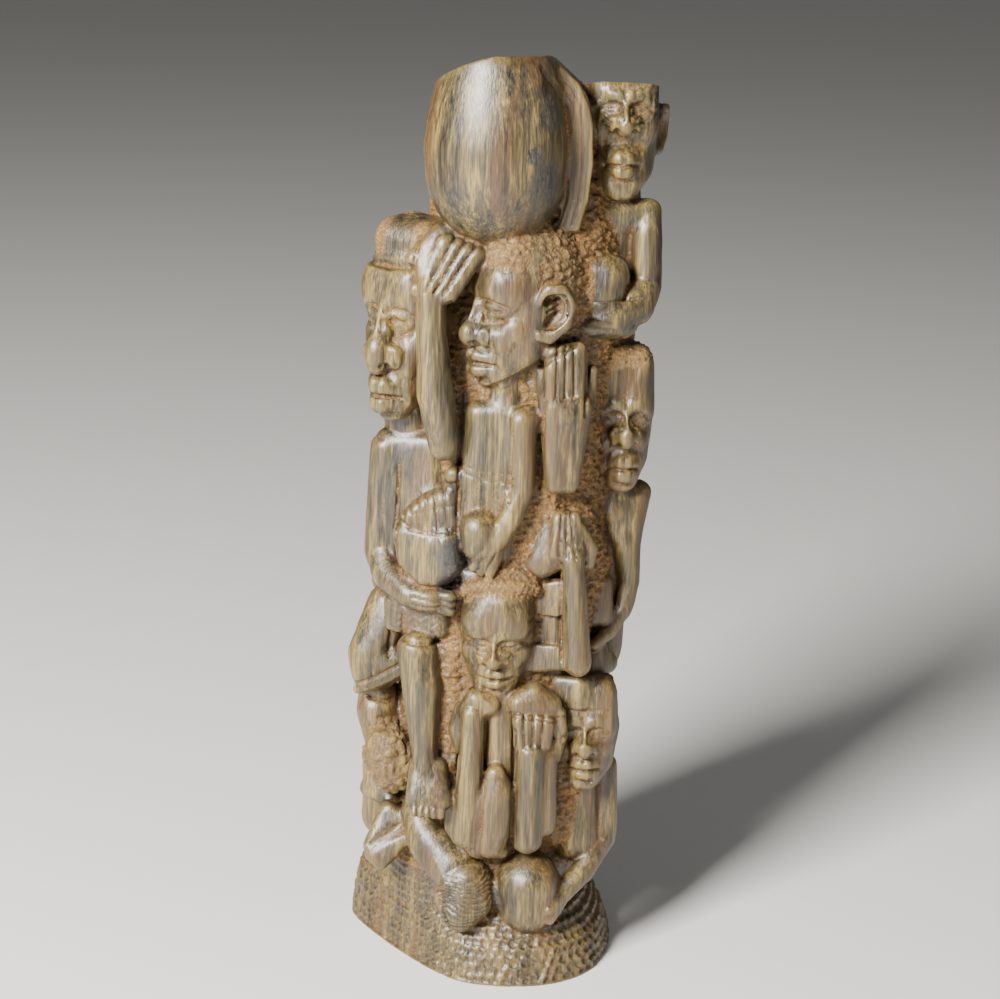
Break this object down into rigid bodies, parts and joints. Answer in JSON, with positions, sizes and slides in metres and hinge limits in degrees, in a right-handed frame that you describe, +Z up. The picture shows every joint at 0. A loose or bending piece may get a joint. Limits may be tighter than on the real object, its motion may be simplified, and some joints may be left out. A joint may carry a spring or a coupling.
{
  "type": "makonde ujamaa carving",
  "caption": "Tall one-piece wooden family column of stacked carved figures, with a large pot carried on top, standing on a gouge-pitted mound base.",
  "frame": {"origin": "middle of the flat underside of the base", "axes": "+Z up the column, -Y out of the front of the carving, +X to the right of someone who looks at the front"},
  "size_m": [0.1253, 0.108, 0.3836],
  "materials": {
    "carved_wood": "waxed and rubbed to a gloss on the raised forms, dry orange-tan and rough in the cut recesses, with streaked brown and tan grain"
  },
  "bodies": {
    "root": {"carving": "carved_wood"}
  },
  "joints": []
}
